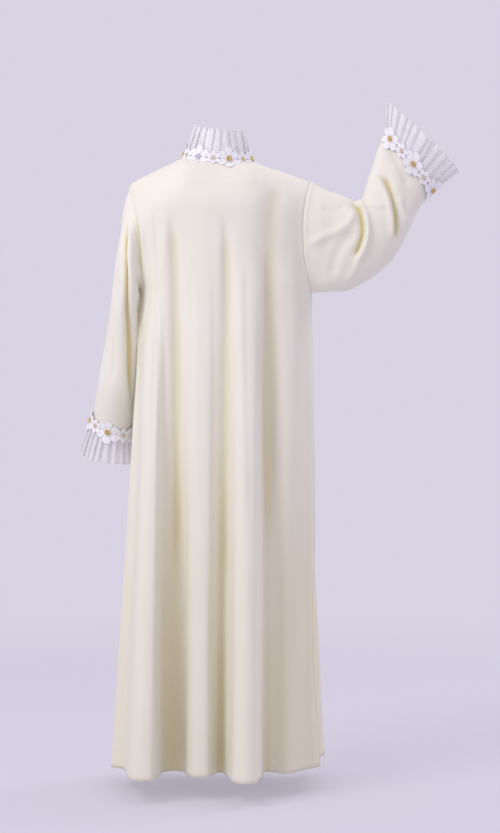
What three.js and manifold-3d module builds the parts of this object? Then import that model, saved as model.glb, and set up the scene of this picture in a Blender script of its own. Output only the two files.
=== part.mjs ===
// A full-length A-line abaya with pleated organza frills at the neck and wrists, in the pose
// it is worn in: the left arm down, the right arm raised. Millimetres, +Z up, front towards
// -Y, the wearer's left towards +X, origin at the centre of the base of the neck.

import * as THREE from 'three';
import { mergeVertices } from 'three/addons/utils/BufferGeometryUtils.js';
import Module from 'manifold-3d';

const wasm = await Module();
wasm.setup();

const { lerp, smoothstep } = THREE.MathUtils;

// Cloth
const crepe = 1.5;
const organza = 1;
const seamGap = 0.3;

// Body
const hemZ = -1411;
const foldTopZ = -130;
const foldEase = 0.08;
const armhole = {
  left: { tipX: 203, tipZ: -54, pitX: 170, pitZ: -300, inset: 7 },
  right: { tipX: -215, tipZ: -50, pitX: -216, pitZ: -307, inset: 20 },
};
const armholeDeep = 52;
const edgeReach = 0.2;
const armholeRows = 7;
const rowsBelowArmhole = [1.12, 1.28, 1.46, 1.64, 1.82, 2];
const columnsMeasuredAt = 1.7;
const bodyColumnCount = 50;
const shoulderSeamY = -4;
const shoulderTurn = 35 * Math.PI / 180;
const neckline = {
  halfWide: 80, y: -6, back: 62, front: 70, backDrop: 12, frontDrop: 68, frontSwing: 2.2, tilt: 0.07,
};
const neckFrom = 0.31;
const torso = {
  back: { deepTop: 112, deepPit: 108, ease: 115 },
  front: { deepTop: 112, deepPit: 136, ease: 165 },
};
const lap = { half: 0.025, from: 0.38, to: 0.46, lift: 2.3 };
const facing = { from: 0.27, to: 0.73, rows: 3 };

// The hem round the garment: 0 at the left side seam, 1 at the right one, 2 the left again.
const hemRound = 2;
const hemTurns = [
  { at: 0.00, x: 247, y: 10 },
  { at: 0.05, x: 216, y: 44 },
  { at: 0.12, x: 192, y: 176 },
  { at: 0.19, x: 142, y: 192 },
  { at: 0.285, x: 103, y: 66 },
  { at: 0.36, x: 60, y: 140 },
  { at: 0.43, x: 18, y: 146 },
  { at: 0.49, x: -8, y: 84 },
  { at: 0.545, x: -38, y: 212 },
  { at: 0.61, x: -86, y: 222 },
  { at: 0.685, x: -116, y: 76 },
  { at: 0.77, x: -160, y: 98 },
  { at: 0.86, x: -200, y: 50 },
  { at: 1.00, x: -238, y: 0 },
  { at: 1.11, x: -234, y: -92 },
  { at: 1.18, x: -256, y: -176 },
  { at: 1.235, x: -232, y: -210 },
  { at: 1.30, x: -170, y: -150 },
  { at: 1.365, x: -128, y: -224 },
  { at: 1.41, x: -92, y: -222 },
  { at: 1.455, x: -58, y: -178 },
  { at: 1.50, x: -12, y: -198 },
  { at: 1.545, x: 32, y: -194 },
  { at: 1.59, x: 64, y: -170 },
  { at: 1.64, x: 98, y: -220 },
  { at: 1.69, x: 136, y: -216 },
  { at: 1.75, x: 172, y: -142 },
  { at: 1.81, x: 206, y: -188 },
  { at: 1.865, x: 238, y: -164 },
  { at: 1.93, x: 238, y: -72 },
];
const hemRows = [-hemRound, 0, hemRound].flatMap((shift) => (
  hemTurns.map(({ at, x, y }) => ({ at: at + shift, x, y }))
));

// Sleeves and frills: oval sections from the armhole outwards. Each has its top and under
// points in the XZ plane, its middle's y, its half depth, and how far its back point drops.
const sleeveRows = {
  left: [
    { at: 0.00, topX: 203, topZ: -54, underX: 170, underZ: -300, y: 0, deep: 52, drop: 0 },
    { at: 0.12, topX: 219, topZ: -118, underX: 184, underZ: -303, y: 0, deep: 62, drop: 0 },
    { at: 0.24, topX: 229, topZ: -185, underX: 187, underZ: -311, y: 0, deep: 72, drop: 0 },
    { at: 0.36, topX: 241, topZ: -255, underX: 183, underZ: -326, y: -12, deep: 80, drop: 0 },
    { at: 0.50, topX: 252, topZ: -335, underX: 180, underZ: -352, y: -28, deep: 82, drop: 1 },
    { at: 0.65, topX: 266, topZ: -425, underX: 182, underZ: -440, y: -47, deep: 77, drop: 5 },
    { at: 0.80, topX: 282, topZ: -510, underX: 190, underZ: -528, y: -60, deep: 71, drop: 12 },
    { at: 0.93, topX: 296, topZ: -576, underX: 200, underZ: -600, y: -87, deep: 61, drop: 17 },
    { at: 1.00, topX: 302, topZ: -601, underX: 204, underZ: -633, y: -98, deep: 60, drop: 18 },
  ],
  right: [
    { at: 0.00, topX: -215, topZ: -50, underX: -216, underZ: -307, y: 0, deep: 52, drop: 0 },
    { at: 0.12, topX: -261, topZ: -71, underX: -268, underZ: -306, y: 0, deep: 50, drop: 0 },
    { at: 0.25, topX: -308, topZ: -89, underX: -308, underZ: -301, y: -2, deep: 48, drop: 0 },
    { at: 0.36, topX: -327, topZ: -93, underX: -366, underZ: -268, y: -4, deep: 50, drop: 0 },
    { at: 0.47, topX: -337, topZ: -84, underX: -410, underZ: -226, y: -6, deep: 50, drop: 0 },
    { at: 0.60, topX: -349, topZ: -46, underX: -445, underZ: -163, y: -10, deep: 46, drop: 0 },
    { at: 0.73, topX: -362, topZ: -10, underX: -468, underZ: -116, y: -14, deep: 44, drop: 0 },
    { at: 0.87, topX: -374, topZ: 30, underX: -488, underZ: -90, y: -18, deep: 40, drop: 0 },
    { at: 1.00, topX: -394, topZ: 61, underX: -501, underZ: -70, y: -22, deep: 36, drop: 0 },
  ],
};
const frillRows = {
  left: [
    { at: 0, topX: 302, topZ: -601, underX: 204, underZ: -633, y: -98, deep: 60, drop: 18 },
    { at: 1, topX: 331, topZ: -682, underX: 196, underZ: -704, y: -126, deep: 82, drop: 12 },
  ],
  right: [
    { at: 0, topX: -394, topZ: 61, underX: -501, underZ: -70, y: -22, deep: 36, drop: 0 },
    { at: 1, topX: -397, topZ: 135, underX: -561, underZ: -21, y: -26, deep: 56, drop: 0 },
  ],
};
const sleeveColumns = 28;
const sleeveStart = 0.0014;
const sleevePlaces = [sleeveStart, 0.06, 0.12, 0.18, 0.26, 0.35, 0.45, 0.55, 0.65, 0.76, 0.88, 1];
const cuffPleats = { count: 24, atJoin: 0.2, atEdge: 5 };
const frillSteps = 3;

// Collar
const collarTop = { halfWide: 57, x: -4, y: -6, back: 50, front: 52, high: 78 };
const collarSeat = 2.2;
const collarOpening = 5 * Math.PI / 180;
const collarPleats = { count: 24, atBase: 0.3, atTop: 3.5 };

// Daisies: six petals round a beaded centre, large and small ones by turns.
const daisies = {
  large: { radius: 28, thick: 1.8, over: 0, bead: 8.5, beadHigh: 4.4 },
  small: { radius: 17.5, thick: 1.8, over: 0.7, bead: 6, beadHigh: 3 },
};
const dome = { topShare: 0.55, sides: 8 };
const petals = { count: 6, notch: 0.5, shoulder: 0.92, shoulderAngle: 15 * Math.PI / 180 };
const bendRadius = 6;

// How steeply the collar's trim falls away, by the sine of the angle: -1 front, 0 side, 1 back.
const trimFall = [
  { at: -1.00, steep: 0.80 },
  { at: -0.87, steep: 0.38 },
  { at: -0.65, steep: -0.02 },
  { at: -0.26, steep: 0.10 },
  { at: 0.00, steep: 0.24 },
  { at: 0.50, steep: 0.27 },
  { at: 0.87, steep: 0.50 },
  { at: 1.00, steep: 0.84 },
];
const trimLift = {
  collar: { below: 1.3, above: 0.8, over: 10, rise: 0.05 },
  cuff: { flat: 0.7, bend: 2.2, rise: 0.07 },
};
const chain = {
  collar: { steps: 12, from: 19, to: 35, raise: 9, first: 'small' },
  cuff: { steps: 10, start: { left: 14, right: 28 }, first: 'large' },
};

// The value of a column of a table at a place, on a smooth curve through the rows.
function along(rows, column, at) {
  let i = 0;
  while (i < rows.length - 2 && at > rows[i + 1].at) i++;
  const [from, to] = [rows[i], rows[i + 1]];
  const span = to.at - from.at;
  const slope = (k) => {
    const before = rows[Math.max(k - 1, 0)];
    const after = rows[Math.min(k + 1, rows.length - 1)];
    return (after[column] - before[column]) / (after.at - before.at);
  };
  const t = (at - from.at) / span;
  const bulge = slope(i) * span * t * (1 - t) ** 2 - slope(i + 1) * span * t ** 2 * (1 - t);
  return lerp(from[column], to[column], t * t * (3 - 2 * t)) + bulge;
}

// Places from one end of a curve to the other, with equal lengths of curve between them.
function spread(curve, from, to, count) {
  const steps = 600;
  const places = Array.from({ length: steps + 1 }, (_, i) => lerp(from, to, i / steps));
  const lengths = [0];
  for (let i = 1; i <= steps; i++) {
    lengths.push(lengths[i - 1] + curve(places[i - 1]).distanceTo(curve(places[i])));
  }
  const spots = [];
  let i = 1;
  for (let k = 0; k <= count; k++) {
    const wanted = lengths[steps] * k / count;
    while (i < steps && lengths[i] < wanted) i++;
    const t = (wanted - lengths[i - 1]) / (lengths[i] - lengths[i - 1]);
    spots.push(lerp(places[i - 1], places[i], t));
  }
  return spots;
}

function evenly(from, to, count) {
  return Array.from({ length: count + 1 }, (_, i) => lerp(from, to, i / count));
}

// The directions along u and v of a surface, each of unit length.
function tangents(point, u, v, range) {
  const step = 1e-3;
  const [u0, u1] = [Math.max(u - step, range.u[0]), Math.min(u + step, range.u[1])];
  const [v0, v1] = [Math.max(v - step, range.v[0]), Math.min(v + step, range.v[1])];
  const du = point(u1, v).sub(point(u0, v)).normalize();
  const dv = point(u, v1).sub(point(u, v0)).normalize();
  return { du, dv };
}

function normalOf(point, u, v, range) {
  const { du, dv } = tangents(point, u, v, range);
  return du.cross(dv).normalize();
}

function meshGeometry(points, triangles) {
  const geometry = new THREE.BufferGeometry();
  geometry.setAttribute('position', new THREE.Float32BufferAttribute(points.flatMap((p) => p.toArray()), 3));
  geometry.setIndex(triangles.flat());
  return geometry;
}

// A sheet of even thickness. point(u, v) is its outer side, and the normal there is du x dv.
// Open edges stand back by half a seam gap; a round sheet joins its last column to its first.
function wall({ point, us, vs, thick, round = false, normal = normalOf }) {
  const range = {
    u: round ? [-Infinity, Infinity] : [us[0], us[us.length - 1]],
    v: [vs[0], vs[vs.length - 1]],
  };
  const columns = round ? us.length - 1 : us.length;
  const rows = vs.length;
  const outer = [];
  const inner = [];
  for (let i = 0; i < columns; i++) {
    for (let j = 0; j < rows; j++) {
      const place = point(us[i], vs[j]);
      const { du, dv } = tangents(point, us[i], vs[j], range);
      if (!round && i === 0) place.addScaledVector(du, seamGap / 2);
      if (!round && i === columns - 1) place.addScaledVector(du, -seamGap / 2);
      if (j === 0) place.addScaledVector(dv, seamGap / 2);
      if (j === rows - 1) place.addScaledVector(dv, -seamGap / 2);
      outer.push(place);
      inner.push(place.clone().addScaledVector(normal(point, us[i], vs[j], range), -thick));
    }
  }
  const out = (i, j) => (i % columns) * rows + j;
  const under = (i, j) => outer.length + out(i, j);
  const triangles = [];
  const quad = (a, b, c, d) => triangles.push([a, b, c], [a, c, d]);
  const last = round ? columns : columns - 1;
  for (let i = 0; i < last; i++) {
    for (let j = 0; j < rows - 1; j++) {
      quad(out(i, j), out(i + 1, j), out(i + 1, j + 1), out(i, j + 1));
      quad(under(i, j), under(i, j + 1), under(i + 1, j + 1), under(i + 1, j));
    }
    quad(out(i, 0), under(i, 0), under(i + 1, 0), out(i + 1, 0));
    quad(out(i, rows - 1), out(i + 1, rows - 1), under(i + 1, rows - 1), under(i, rows - 1));
  }
  for (let j = 0; j < rows - 1 && !round; j++) {
    quad(out(0, j), out(0, j + 1), under(0, j + 1), under(0, j));
    quad(out(last, j), under(last, j), under(last, j + 1), out(last, j + 1));
  }
  return meshGeometry([...outer, ...inner], triangles);
}

// The neckline, by its angle: 0 at the left, a quarter turn at the back.
function neck(angle) {
  const s = Math.sin(angle);
  const x = neckline.halfWide * Math.cos(angle);
  const y = neckline.y + (s > 0 ? neckline.back : neckline.front) * s;
  const drop = s > 0 ? neckline.backDrop * s : neckline.frontDrop * Math.abs(s) ** neckline.frontSwing;
  return new THREE.Vector3(x, y, neckline.tilt * x - drop);
}

// How far the cloth has fallen from its top edge (0) to underarm level (1).
const fallShare = (fall) => (1 - Math.cos(Math.PI * fall)) / 2;

// The armhole's oval, and the gentler bow that the cloth beyond its edge follows.
function armholeEdge(side, fall) {
  const { tipX, pitX, inset } = armhole[side];
  const share = fallShare(fall);
  const inward = side === 'left' ? -inset : inset;
  const bows = [Math.sin(Math.PI * fall), 27 / 4 * share * (1 - share) ** 2];
  return bows.map((bow) => ({ x: lerp(tipX, pitX, share) + inward * bow, y: armholeDeep * bow }));
}

// The body's top edge: a shoulder seam, the neckline, and the other shoulder seam.
function topEdge(face, across) {
  if (across > neckFrom && across < 1 - neckFrom) {
    return neck(face * Math.acos(1 - 2 * (across - neckFrom) / (1 - 2 * neckFrom)));
  }
  const side = across < 0.5 ? 'left' : 'right';
  const share = (across < 0.5 ? across : 1 - across) / neckFrom;
  const { tipX, tipZ } = armhole[side];
  const tip = new THREE.Vector3(tipX, shoulderSeamY, tipZ);
  return tip.lerp(neck(side === 'left' ? 0 : Math.PI), share);
}

function fullness(z) {
  const t = Math.max((z - foldTopZ) / (hemZ - foldTopZ), 0);
  return t * t * (1 + foldEase) / (t + foldEase);
}

// The body's outer side. face is 1 at the back and -1 at the front; across runs from the left
// side (0) to the right (1); fall from the top edge (0) by underarm level (1) to the hem (2).
function body(face, across, fall) {
  const shape = face > 0 ? torso.back : torso.front;
  const upper = Math.min(fall, 1);
  const share = fallShare(upper);
  const [leftEdge, left] = armholeEdge('left', upper);
  const [rightEdge, right] = armholeEdge('right', upper);
  const leftPull = Math.max(1 - across / edgeReach, 0) ** 2;
  const rightPull = Math.max(1 - (1 - across) / edgeReach, 0) ** 2;
  const top = topEdge(face, across);
  const turn = shoulderTurn * (1 - smoothstep(share, 0.3, 1));
  const angle = lerp(turn, Math.PI - turn, across);
  const middleX = (left.x + right.x) / 2;
  const halfWide = (left.x - right.x) / 2;
  const edgeY = lerp(left.y, right.y, across);
  const bow = (Math.sin(angle) - Math.sin(turn)) / (1 - Math.sin(turn));
  const deep = lerp(shape.deepTop, shape.deepPit, smoothstep(share, 0, 1));
  const pullX = leftPull * (leftEdge.x - left.x) + rightPull * (rightEdge.x - right.x);
  const pullY = leftPull * (leftEdge.y - left.y) + rightPull * (rightEdge.y - right.y);
  const sectionX = middleX + halfWide * Math.cos(angle) / Math.cos(turn) + pullX;
  const sectionY = face * (edgeY + (deep - edgeY) * bow + pullY);

  const pitZ = lerp(armhole.left.pitZ, armhole.right.pitZ, across);
  const upperZ = lerp(top.z, pitZ, share);
  const z = fall < 1 ? upperZ : lerp(pitZ, hemZ, fall - 1);
  const t = Math.min((top.z - upperZ) / shape.ease, 1);
  const neckShare = smoothstep(0.5 - Math.abs(across - 0.5), neckFrom, 0.5);
  const ease = lerp(Math.sqrt(1 - (1 - t) ** 2), Math.sin(Math.PI * t / 2), neckShare);
  const at = face > 0 ? across : 2 - across;
  const full = fullness(z);
  return new THREE.Vector3(
    lerp(lerp(top.x, sectionX, ease), along(hemRows, 'x', at), full),
    lerp(lerp(top.y, sectionY, ease), along(hemRows, 'y', at), full),
    z,
  );
}

const bodyRange = { u: [0, 1], v: [0, 2] };

function bodyOut(face, across, fall) {
  const point = (u, v) => body(face, u, v);
  return normalOf(point, across, fall, bodyRange).multiplyScalar(-face);
}

// A point of an oval section: turn is 0 at its top, 0.5 at the back, 1 underneath.
function sectionPoint(rows, turn, at) {
  const value = (column) => along(rows, column, at);
  const c = Math.cos(Math.PI * turn);
  const s = Math.sin(Math.PI * turn);
  const [topX, topZ, underX, underZ] = ['topX', 'topZ', 'underX', 'underZ'].map(value);
  return new THREE.Vector3(
    (topX + underX) / 2 + c * (topX - underX) / 2,
    value('y') + s * value('deep'),
    (topZ + underZ) / 2 + c * (topZ - underZ) / 2 - s * value('drop'),
  );
}

// Where a turn round an armhole lies on the body.
function armholePlace(side, turn) {
  const wrapped = ((turn % 2) + 2) % 2;
  const across = side === 'left' ? 0 : 1;
  return wrapped <= 1 ? [1, across, wrapped] : [-1, across, 2 - wrapped];
}

// The armhole as the body's own rows make it, straight from each row to the next.
function armholePoint(side, turn) {
  const row = Math.floor(turn * armholeRows);
  const from = body(...armholePlace(side, row / armholeRows));
  const to = body(...armholePlace(side, (row + 1) / armholeRows));
  return from.lerp(to, turn * armholeRows - row);
}

// Turning round a tube and then along it faces into it on the left and out of it on the right.
const outward = { left: -1, right: 1 };
const tubeRange = { u: [-Infinity, Infinity], v: [0, 1] };

// A sleeve starts on the armhole and eases into its own sections.
function sleeve(side, turn, at) {
  const rows = sleeveRows[side];
  const start = armholePoint(side, turn).sub(sectionPoint(rows, turn, 0));
  return sectionPoint(rows, turn, at).addScaledVector(start, 1 - smoothstep(at, 0, rows[2].at));
}

// Seam sides share one direction through the cloth, so that neither wall runs into the other.
function armholeNormal(side, turn) {
  const sleeveNormal = normalOf((u, v) => sleeve(side, u, v), turn, 0, tubeRange);
  sleeveNormal.multiplyScalar(outward[side]);
  return bodyOut(...armholePlace(side, turn)).add(sleeveNormal).normalize();
}

const bodyRows = [...evenly(0, 1, armholeRows), ...rowsBelowArmhole];

// Columns are closer where the hem's folds are deeper.
function bodyColumns(face) {
  return spread((across) => body(face, across, columnsMeasuredAt), 0, 1, bodyColumnCount);
}

// A body panel. Its outer side can be lifted where it laps over another.
function panel(face, columns, lift = () => 0) {
  const sign = -face;
  const point = (u, v) => {
    const across = u * sign;
    const raise = lift(across);
    const place = body(face, across, v);
    return raise === 0 ? place : place.addScaledVector(bodyOut(face, across, v), raise);
  };
  const normal = (surface, u, v, limits) => {
    const across = u * sign;
    const fall = face > 0 ? v : 2 - v;
    if (v <= 1 && across < 1e-9) return armholeNormal('left', fall);
    if (v <= 1 && across > 1 - 1e-9) return armholeNormal('right', fall);
    return normalOf(surface, u, v, limits);
  };
  const us = columns.map((across) => across * sign);
  if (sign < 0) us.reverse();
  return wall({ point, us, vs: bodyRows, thick: crepe, normal });
}

function sleeveWall(side) {
  const mirror = outward[side];
  const normal = (surface, u, v, limits) => (
    v === sleeveStart ? armholeNormal(side, u * mirror) : normalOf(surface, u, v, limits)
  );
  const point = (u, v) => sleeve(side, u * mirror, v);
  const turns = mirror < 0 ? evenly(-2, 0, sleeveColumns) : evenly(0, 2, sleeveColumns);
  return wall({ point, us: turns, vs: sleevePlaces, thick: crepe, round: true, normal });
}

// The back-neck facing lies inside the back, on the same columns and rows.
function neckFacing() {
  const point = (u, v) => body(1, -u, v).addScaledVector(bodyOut(1, -u, v), -crepe - seamGap);
  const inside = (across) => across > facing.from && across < facing.to;
  const us = bodyColumns(1).filter(inside).map((across) => -across).reverse();
  return wall({ point, us, vs: bodyRows.slice(0, facing.rows), thick: organza });
}

// The collar's middle surface: angle as for the neckline, up from its seam (0) to its edge (1).
function collarPoint(angle, up) {
  const base = neck(angle);
  const s = Math.sin(angle);
  base.z += seamGap + collarSeat * smoothstep(-s, 0.7, 0.95);
  const edge = new THREE.Vector3(
    collarTop.x + collarTop.halfWide * Math.cos(angle),
    collarTop.y + (s > 0 ? collarTop.back : collarTop.front) * s,
    neck(angle).z + collarTop.high,
  );
  return base.lerp(edge, up);
}

function collar() {
  const from = -Math.PI / 2 + collarOpening;
  const to = 3 * Math.PI / 2 - collarOpening;
  const angles = spread((angle) => collarPoint(angle, 0), from, to, 2 * collarPleats.count);
  const pleat = new Map(angles.map((angle, i) => [angle, i % 2 === 0 ? 1 : -1]));
  const range = { u: [from, to], v: [0, 1] };
  const flat = (u, v) => collarPoint(u, v);
  const point = (u, v) => {
    const wave = (pleat.get(u) ?? 0) * lerp(collarPleats.atBase, collarPleats.atTop, v);
    return flat(u, v).addScaledVector(normalOf(flat, u, v, range), wave);
  };
  const normal = (surface, u, v) => normalOf(flat, u, v, range);
  return wall({ point, us: angles, vs: evenly(0, 1, frillSteps), thick: organza, normal });
}

function frill(side, turn, at) {
  return sectionPoint(frillRows[side], turn, at);
}

function cuff(side) {
  const mirror = outward[side];
  const flat = (u, v) => frill(side, u * mirror, v);
  const turns = spread((turn) => frill(side, turn, 0.5), 0, 2, 2 * cuffPleats.count);
  const us = turns.map((turn) => turn * mirror);
  if (mirror < 0) us.reverse();
  const pleat = new Map(us.map((u, i) => [u, i % 2 === 0 ? 1 : -1]));
  const range = { u: [-Infinity, Infinity], v: [0, 1] };
  const point = (u, v) => {
    const wave = (pleat.get(u) ?? 0) * lerp(cuffPleats.atJoin, cuffPleats.atEdge, v);
    return flat(u, v).addScaledVector(normalOf(flat, u, v, range), wave);
  };
  const normal = (surface, u, v) => normalOf(flat, u, v, range);
  return wall({ point, us, vs: evenly(0, 1, frillSteps), thick: organza, round: true, normal });
}

// A point over a join: t runs along `up` beyond it and along `down` before it, with a round bend.
function overJoin(join, up, down, t) {
  const reach = Math.hypot(t, bendRadius);
  const place = join.clone().addScaledVector(up, (reach + t) / 2);
  return place.addScaledVector(down, (reach - t) / 2);
}

// The collar's trim stands on the frill and spreads over the shoulders and the upper back.
function collarTrimPoint(angle, t) {
  const s = Math.sin(angle);
  const steep = along(trimFall, 'steep', s);
  const flat = Math.cos(steep);
  const down = new THREE.Vector3(flat * Math.cos(angle), flat * s, -Math.sin(steep));
  const up = collarPoint(angle, 1).sub(collarPoint(angle, 0)).normalize();
  return overJoin(neck(angle), up, down, t);
}

function cuffTrimPoint(side, turn, t) {
  const up = tangents((u, v) => frill(side, u, v), turn, 0, tubeRange).dv;
  const down = tangents((u, v) => sleeve(side, u, v), turn, 1, tubeRange).dv.negate();
  return overJoin(sleeve(side, turn, 1), up, down, t);
}

// Turns a surface by parameter into one by millimetres: along it, across it and out of it.
function trimSurface(point, from, to, lift) {
  const { length, at } = ruler((u) => point(u, 0), from, to);
  const range = { u: [-Infinity, Infinity], v: [-Infinity, Infinity] };
  const surface = (a, b, height) => {
    const out = normalOf(point, at(a), b, range);
    return point(at(a), b).addScaledVector(out, lift(at(a), b) + height);
  };
  return { length, surface };
}

// One flat-backed daisy, bent onto a surface: surface(a, b, h) takes millimetres along the
// trim, across it, and out of it.
function daisy(surface, along, { radius, thick, over, bead, beadHigh }) {
  const rim = [];
  for (let k = 0; k < petals.count; k++) {
    const step = 2 * Math.PI / petals.count;
    const start = step * k;
    rim.push({ angle: start, radius: petals.notch * radius });
    rim.push({ angle: start + petals.shoulderAngle, radius: petals.shoulder * radius });
    rim.push({ angle: start + step / 2, radius });
    rim.push({ angle: start + step - petals.shoulderAngle, radius: petals.shoulder * radius });
  }
  const points = [];
  const layers = [over, over + thick];
  for (const height of layers) {
    points.push(surface(along, 0, height));
    for (const { angle, radius: r } of rim) {
      points.push(surface(along + r * Math.cos(angle), r * Math.sin(angle), height));
    }
  }
  const size = rim.length + 1;
  const triangles = [];
  for (let k = 0; k < rim.length; k += 4) {
    const [notch, first, tip, last] = [1, 2, 3, 4].map((n) => k + n);
    const next = (k + 4) % rim.length + 1;
    const face = [[0, notch, next], [notch, first, tip], [notch, tip, next], [tip, last, next]];
    for (const [a, b, c] of face) {
      triangles.push([a, c, b], [a + size, b + size, c + size]);
    }
    for (const [a, b] of [[notch, first], [first, tip], [tip, last], [last, next]]) {
      triangles.push([a, b, b + size], [a, b + size, a + size]);
    }
  }
  const flower = meshGeometry(points, triangles);
  const beads = new THREE.CylinderGeometry(bead * dome.topShare, bead, beadHigh, dome.sides);
  const spots = beads.attributes.position;
  for (let i = 0; i < spots.count; i++) {
    const height = over + thick / 2 + spots.getY(i) + beadHigh / 2;
    const place = surface(along + spots.getX(i), -spots.getZ(i), height);
    spots.setXYZ(i, place.x, place.y, place.z);
  }
  return [flower, beads];
}

function toManifold(geometry) {
  const bare = geometry.clone();
  bare.deleteAttribute('normal');
  bare.deleteAttribute('uv');
  const merged = mergeVertices(bare, 1e-5);
  const mesh = new wasm.Mesh({
    numProp: 3,
    vertProperties: Float32Array.from(merged.attributes.position.array),
    triVerts: Uint32Array.from(merged.index.array),
  });
  return new wasm.Manifold(mesh);
}

function joined(geometries) {
  const whole = geometries.map(toManifold).reduce((a, b) => a.add(b));
  const { vertProperties, triVerts } = whole.getMesh();
  const geometry = new THREE.BufferGeometry();
  geometry.setAttribute('position', new THREE.BufferAttribute(vertProperties, 3));
  geometry.setIndex(new THREE.BufferAttribute(triVerts, 1));
  return geometry;
}

// A chain of daisies, every other one small.
function daisyChain(surface, places, first) {
  const kinds = first === 'large' ? ['large', 'small'] : ['small', 'large'];
  return joined(places.flatMap((place, i) => daisy(surface, place, daisies[kinds[i % 2]])));
}

function collarTrim() {
  const from = -Math.PI / 2 + collarOpening;
  const to = 3 * Math.PI / 2 - collarOpening;
  const { below, above, over, rise } = trimLift.collar;
  const lift = (u, t) => lerp(below, above, smoothstep(t, 0, over)) + rise * Math.max(t, 0);
  const { length, surface } = trimSurface(collarTrimPoint, from, to, lift);
  const { steps, from: start, to: end, raise, first } = chain.collar;
  const raised = (a, b, height) => surface(a, b + raise, height);
  return daisyChain(raised, evenly(start, length - end, steps), first);
}

// A cuff's trim runs all the way round, with a large daisy just behind the top of the wrist.
function cuffTrim(side) {
  const mirror = outward[side];
  const point = (u, v) => cuffTrimPoint(side, u * mirror, v);
  const { flat, bend, rise } = trimLift.cuff;
  const lift = (u, t) => lerp(flat, bend, Math.cos(Math.PI * u) ** 2) + rise * Math.abs(t);
  const { length, surface } = trimSurface(point, 0, 2, lift);
  const { steps, start, first } = chain.cuff;
  const places = evenly(0, length, steps).slice(0, -1);
  return daisyChain(surface, places.map((place) => place + mirror * start[side]), first);
}

// A map from millimetres along a curve to the curve's own parameter.
function ruler(curve, from, to) {
  const steps = 400;
  const spots = spread(curve, from, to, steps);
  let length = 0;
  for (let i = 1; i <= steps; i++) length += curve(spots[i - 1]).distanceTo(curve(spots[i]));
  const at = (distance) => {
    const turns = Math.floor(distance / length);
    const k = (distance / length - turns) * steps;
    const i = Math.min(Math.floor(k), steps - 1);
    return lerp(spots[i], spots[i + 1], k - i) + turns * (to - from);
  };
  return { length, at };
}

const group = new THREE.Group();

function add(name, geometry, material) {
  const mesh = new THREE.Mesh(geometry, material);
  mesh.name = name;
  group.add(mesh);
}

const cream = new THREE.MeshStandardMaterial({ color: 0xf4eed6, roughness: 0.6, metalness: 0 });
const sheerWhite = new THREE.MeshStandardMaterial({
  color: 0xf2f0f8, roughness: 0.5, metalness: 0, transparent: true, opacity: 0.6,
});
const laceWhite = new THREE.MeshStandardMaterial({ color: 0xfbfafc, roughness: 0.8, metalness: 0 });

const fronts = bodyColumns(-1);
const leftLap = (across) => lap.lift * smoothstep(across, lap.from, lap.to);
add('back', panel(1, bodyColumns(1)), cream);
add('front_left', panel(-1, fronts.filter((across) => across < 0.5 + lap.half), leftLap), cream);
add('front_right', panel(-1, fronts.filter((across) => across > 0.5 - lap.half)), cream);
add('sleeve_left', sleeveWall('left'), cream);
add('sleeve_right', sleeveWall('right'), cream);
add('neck_facing', neckFacing(), cream);
add('collar', collar(), sheerWhite);
add('cuff_left', cuff('left'), sheerWhite);
add('cuff_right', cuff('right'), sheerWhite);
add('collar_trim', collarTrim(), laceWhite);
add('cuff_trim_left', cuffTrim('left'), laceWhite);
add('cuff_trim_right', cuffTrim('right'), laceWhite);

export default group;
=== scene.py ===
import math

import bpy
import numpy as np
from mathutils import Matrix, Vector


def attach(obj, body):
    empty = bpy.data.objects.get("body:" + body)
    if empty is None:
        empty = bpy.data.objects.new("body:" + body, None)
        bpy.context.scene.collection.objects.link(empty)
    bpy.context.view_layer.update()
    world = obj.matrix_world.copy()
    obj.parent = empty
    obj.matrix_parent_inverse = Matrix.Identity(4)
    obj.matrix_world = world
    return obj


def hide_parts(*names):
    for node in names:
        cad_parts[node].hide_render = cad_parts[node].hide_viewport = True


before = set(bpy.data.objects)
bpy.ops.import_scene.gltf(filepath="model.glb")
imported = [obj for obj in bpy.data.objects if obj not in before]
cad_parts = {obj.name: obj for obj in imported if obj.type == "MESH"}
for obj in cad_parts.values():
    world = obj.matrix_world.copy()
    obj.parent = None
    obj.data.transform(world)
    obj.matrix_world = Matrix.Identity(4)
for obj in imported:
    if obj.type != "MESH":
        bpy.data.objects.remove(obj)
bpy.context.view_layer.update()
mm, smallStep, far = 0.001, 1e-3, 1e9
print("frame loaded")


def mix(a, b, t):
    return a + (b - a) * t


def smoothstep(x, low, high):
    t = np.clip((x - low) / (high - low), 0, 1)
    return t * t * (3 - 2 * t)


def fade(x, low, high):
    return 1 - smoothstep(x, low, high)


def bump(distance, at, high, wide):
    return high * np.exp(-((distance - at) / wide) ** 2)


def unit(vectors):
    return vectors / np.maximum(np.linalg.norm(vectors, axis=-1, keepdims=True), 1e-12)


def fromTable(rows, column, at):
    # a smooth curve through the rows of a table, whose first column is the place
    table = np.asarray(rows, float)
    places, values = table[:, 0], table[:, column]
    slopes = np.empty(len(values))
    slopes[1:-1] = (values[2:] - values[:-2]) / (places[2:] - places[:-2])
    slopes[0] = (values[1] - values[0]) / (places[1] - places[0])
    slopes[-1] = (values[-1] - values[-2]) / (places[-1] - places[-2])
    at = np.asarray(at, float)
    i = np.clip(np.searchsorted(places, at) - 1, 0, len(places) - 2)
    span = places[i + 1] - places[i]
    t = (at - places[i]) / span
    bulge = slopes[i] * span * t * (1 - t) ** 2 - slopes[i + 1] * span * t ** 2 * (1 - t)
    return mix(values[i], values[i + 1], t * t * (3 - 2 * t)) + bulge


def stack(x, y, z):
    return np.stack(np.broadcast_arrays(x, y, z), axis=-1).astype(float)


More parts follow.
